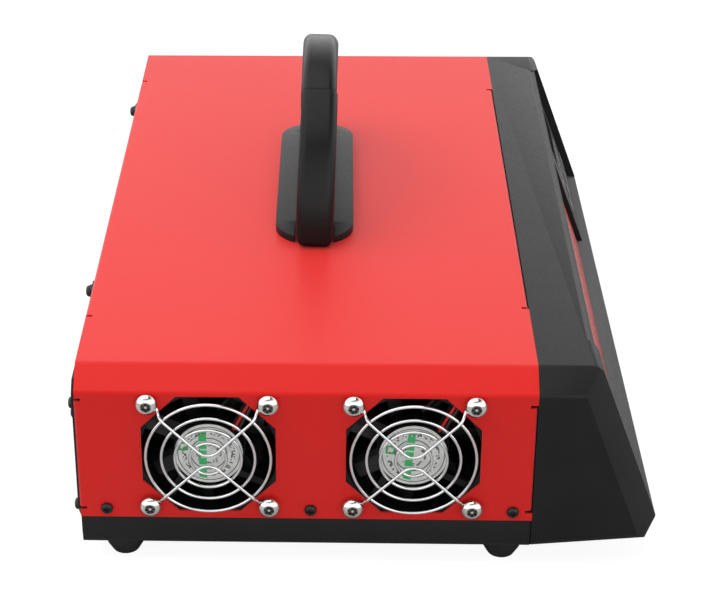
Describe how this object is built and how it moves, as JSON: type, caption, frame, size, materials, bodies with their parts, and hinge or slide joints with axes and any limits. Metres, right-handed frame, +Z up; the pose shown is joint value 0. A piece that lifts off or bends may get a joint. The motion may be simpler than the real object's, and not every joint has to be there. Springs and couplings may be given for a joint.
{
  "type": "workshop battery charger",
  "caption": "bench battery charger in a folded sheet case with a raked front, an arched handle, rubber feet and guarded cooling fans in one side",
  "frame": {"origin": "middle of the bounding box, on the floor under the feet", "axes": "+X across the case, away from the fans; -Y to the front, where the controls face; +Z up"},
  "size_m": [0.374, 0.2512, 0.1669],
  "materials": {
    "red_paint": "semi-gloss fine texture",
    "black_paint": "satin",
    "moulded_black": "fine moulded texture",
    "handle_black": "smooth satin",
    "fan_black": "satin",
    "inner_black": "satin",
    "fascia_red": "satin film",
    "clear_window": "clear",
    "lamp": "clear",
    "button_grey": "satin",
    "rubber": "matt",
    "chrome_wire": "polished",
    "steel": "zinc plated",
    "black_steel": "black oxide",
    "label_silver": "satin foil",
    "copper": "enamelled winding",
    "brass": "plated",
    "wire_red": "insulation",
    "wire_black": "insulation",
    "header_white": "moulded",
    "board_green": "solder mask",
    "ferrite": "sintered",
    "heatsink_metal": "extruded",
    "socket_red": "moulded"
  },
  "bodies": {
    "case": {"cover": "red_paint", "base_tray": "black_paint", "rear_panel": "black_paint", "front_moulding": "moulded_black", "fascia": "fascia_red", "control_panel": "moulded_black", "display_window": "clear_window", "display_module": "inner_black", "indicator_lamps": "lamp", "control_board": "board_green", "board_screws": "steel", "handle_grip": "handle_black", "handle_leg_left": "handle_black", "handle_leg_right": "handle_black", "handle_plate": "handle_black", "handle_screws": "steel", "fan_frame_1": "fan_black", "fan_frame_2": "fan_black", "fan_coil_1": "copper", "fan_coil_2": "copper", "fan_label_1": "label_silver", "fan_label_2": "label_silver", "fan_guard_1": "chrome_wire", "fan_guard_2": "chrome_wire", "guard_screws": "chrome_wire", "guard_nuts": "steel", "red_leads": "wire_red", "black_leads": "wire_black", "lead_headers": "header_white", "cover_screws": "black_steel", "rear_screws": "black_steel", "moulding_screws": "steel", "foot_1": "rubber", "foot_2": "rubber", "foot_3": "rubber", "foot_4": "rubber", "foot_screws": "steel", "mains_inlet": "inner_black", "inlet_pins": "brass", "switch_housing": "inner_black", "fuse_holder": "inner_black", "output_socket_1": "inner_black", "output_socket_2": "socket_red", "output_contacts": "brass", "main_board": "board_green", "board_standoffs": "brass", "heatsink_1": "heatsink_metal", "heatsink_2": "heatsink_metal", "power_transistors": "inner_black", "transformer_core": "ferrite", "transformer_winding": "copper", "bulk_capacitors": "inner_black", "chokes": "copper"},
    "fan_wheel_rear": {"fan_wheel_1": "fan_black"},
    "fan_wheel_front": {"fan_wheel_2": "fan_black"},
    "rocker": {"power_switch": "inner_black"},
    "button_1": {"push_button_1": "button_grey"},
    "button_2": {"push_button_2": "button_grey"},
    "button_3": {"push_button_3": "button_grey"},
    "button_4": {"push_button_4": "button_grey"}
  },
  "joints": [
    {"name": "fan_wheel_rear_spin", "type": "hinge", "parent": "case", "child": "fan_wheel_rear", "pos_m": [-0.16883, 0.06365, 0.05605], "axis": [1, 0, 0], "continuous": true},
    {"name": "fan_wheel_front_spin", "type": "hinge", "parent": "case", "child": "fan_wheel_front", "pos_m": [-0.16883, -0.02145, 0.05605], "axis": [1, 0, 0], "continuous": true},
    {"name": "rocker_tip", "type": "hinge", "parent": "case", "child": "rocker", "pos_m": [0.06367, 0.11865, 0.0557], "axis": [1, 0, 0], "range_deg": [-18, 0]},
    {"name": "button_1_press", "type": "slide", "parent": "case", "child": "button_1", "axis": [0, 0.9354, -0.3535], "range_m": [0, 0.001], "stiffness_N_per_m": 600, "springref_m": -0.0015},
    {"name": "button_2_press", "type": "slide", "parent": "case", "child": "button_2", "axis": [0, 0.9354, -0.3535], "range_m": [0, 0.001], "stiffness_N_per_m": 600, "springref_m": -0.0015},
    {"name": "button_3_press", "type": "slide", "parent": "case", "child": "button_3", "axis": [0, 0.9354, -0.3535], "range_m": [0, 0.001], "stiffness_N_per_m": 600, "springref_m": -0.0015},
    {"name": "button_4_press", "type": "slide", "parent": "case", "child": "button_4", "axis": [0, 0.9354, -0.3535], "range_m": [0, 0.001], "stiffness_N_per_m": 600, "springref_m": -0.0015}
  ]
}
